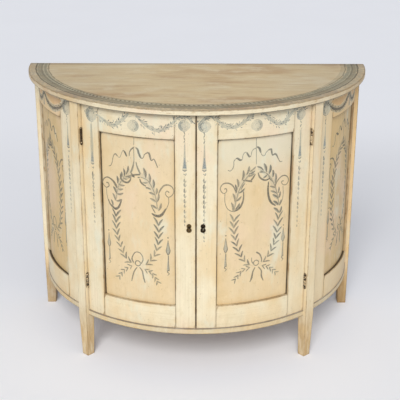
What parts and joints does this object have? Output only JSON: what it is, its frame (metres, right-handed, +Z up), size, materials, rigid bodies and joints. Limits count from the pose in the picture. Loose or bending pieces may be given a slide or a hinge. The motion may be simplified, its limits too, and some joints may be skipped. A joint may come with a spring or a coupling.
{
  "type": "demilune cabinet",
  "caption": "Half-round painted wooden cabinet on tapered legs, with curved panelled doors, fixed curved side panels and a shelf inside.",
  "frame": {"origin": "bottom centre of the bounding box, on the floor, midway between the sides and between the curved front and the flat back", "axes": "+Z up, -Y towards the doors, +Y towards the wall, +X to the right as seen from the front"},
  "size_m": [1.0998, 0.55, 0.865],
  "materials": {
    "cream_paint": "worn cream milk paint with brown glaze in the joints",
    "panel_paint": "worn peach-cream paint with brown glaze at the edges",
    "top_paint": "rubbed tan paint over wood grain, cream at the edge",
    "bare_pine": "bare aged pine",
    "black_iron": "dark, rusted",
    "old_brass": "tarnished nearly black"
  },
  "bodies": {
    "carcass": {"back_board_1": "bare_pine", "back_board_2": "bare_pine", "back_board_3": "bare_pine", "back_board_4": "bare_pine", "back_shelf_cleat": "bare_pine", "back_top_rail": "bare_pine", "bottom_board": "cream_paint", "front_top_rail": "bare_pine", "left_back_post": "cream_paint", "left_front_post": "cream_paint", "left_lower_hinge_pin": "black_iron", "left_lower_hinge_post_leaf": "black_iron", "left_shelf_cleat": "bare_pine", "left_side_back_stile": "cream_paint", "left_side_bottom_rail": "cream_paint", "left_side_front_stile": "cream_paint", "left_side_panel": "panel_paint", "left_side_top_rail": "cream_paint", "left_upper_hinge_pin": "black_iron", "left_upper_hinge_post_leaf": "black_iron", "right_back_post": "cream_paint", "right_front_post": "cream_paint", "right_lower_hinge_pin": "black_iron", "right_lower_hinge_post_leaf": "black_iron", "right_shelf_cleat": "bare_pine", "right_side_back_stile": "cream_paint", "right_side_bottom_rail": "cream_paint", "right_side_front_stile": "cream_paint", "right_side_panel": "panel_paint", "right_side_top_rail": "cream_paint", "right_upper_hinge_pin": "black_iron", "right_upper_hinge_post_leaf": "black_iron", "shelf": "bare_pine", "top": "top_paint"},
    "left_door": {"bolt_plate": "black_iron", "left_door_bottom_rail": "cream_paint", "left_door_hinge_stile": "cream_paint", "left_door_keyplate": "old_brass", "left_door_meeting_stile": "cream_paint", "left_door_panel": "panel_paint", "left_door_top_rail": "cream_paint", "left_lower_hinge_door_leaf": "black_iron", "left_upper_hinge_door_leaf": "black_iron", "lock_strike": "black_iron"},
    "right_door": {"lock_case": "black_iron", "right_door_bottom_rail": "cream_paint", "right_door_hinge_stile": "cream_paint", "right_door_keyplate": "old_brass", "right_door_meeting_stile": "cream_paint", "right_door_panel": "panel_paint", "right_door_top_rail": "cream_paint", "right_lower_hinge_door_leaf": "black_iron", "right_upper_hinge_door_leaf": "black_iron"},
    "lock_bolt": {"lock_bolt": "black_iron"},
    "bolt_rod": {"bolt_rod": "black_iron"}
  },
  "joints": [
    {"name": "left_door_hinge", "type": "hinge", "parent": "carcass", "child": "left_door", "pos_m": [-0.34184, -0.13429, 0.5], "axis": [0, 0, -1], "range_deg": [0, 110]},
    {"name": "right_door_hinge", "type": "hinge", "parent": "carcass", "child": "right_door", "pos_m": [0.34184, -0.13429, 0.5], "axis": [0, 0, 1], "range_deg": [0, 110]},
    {"name": "lock_bolt_slide", "type": "slide", "parent": "right_door", "child": "lock_bolt", "axis": [-1, 0, 0], "range_m": [0, 0.012]},
    {"name": "surface_bolt_slide", "type": "slide", "parent": "left_door", "child": "bolt_rod", "axis": [0, 0, 1], "range_m": [0, 0.012]}
  ]
}
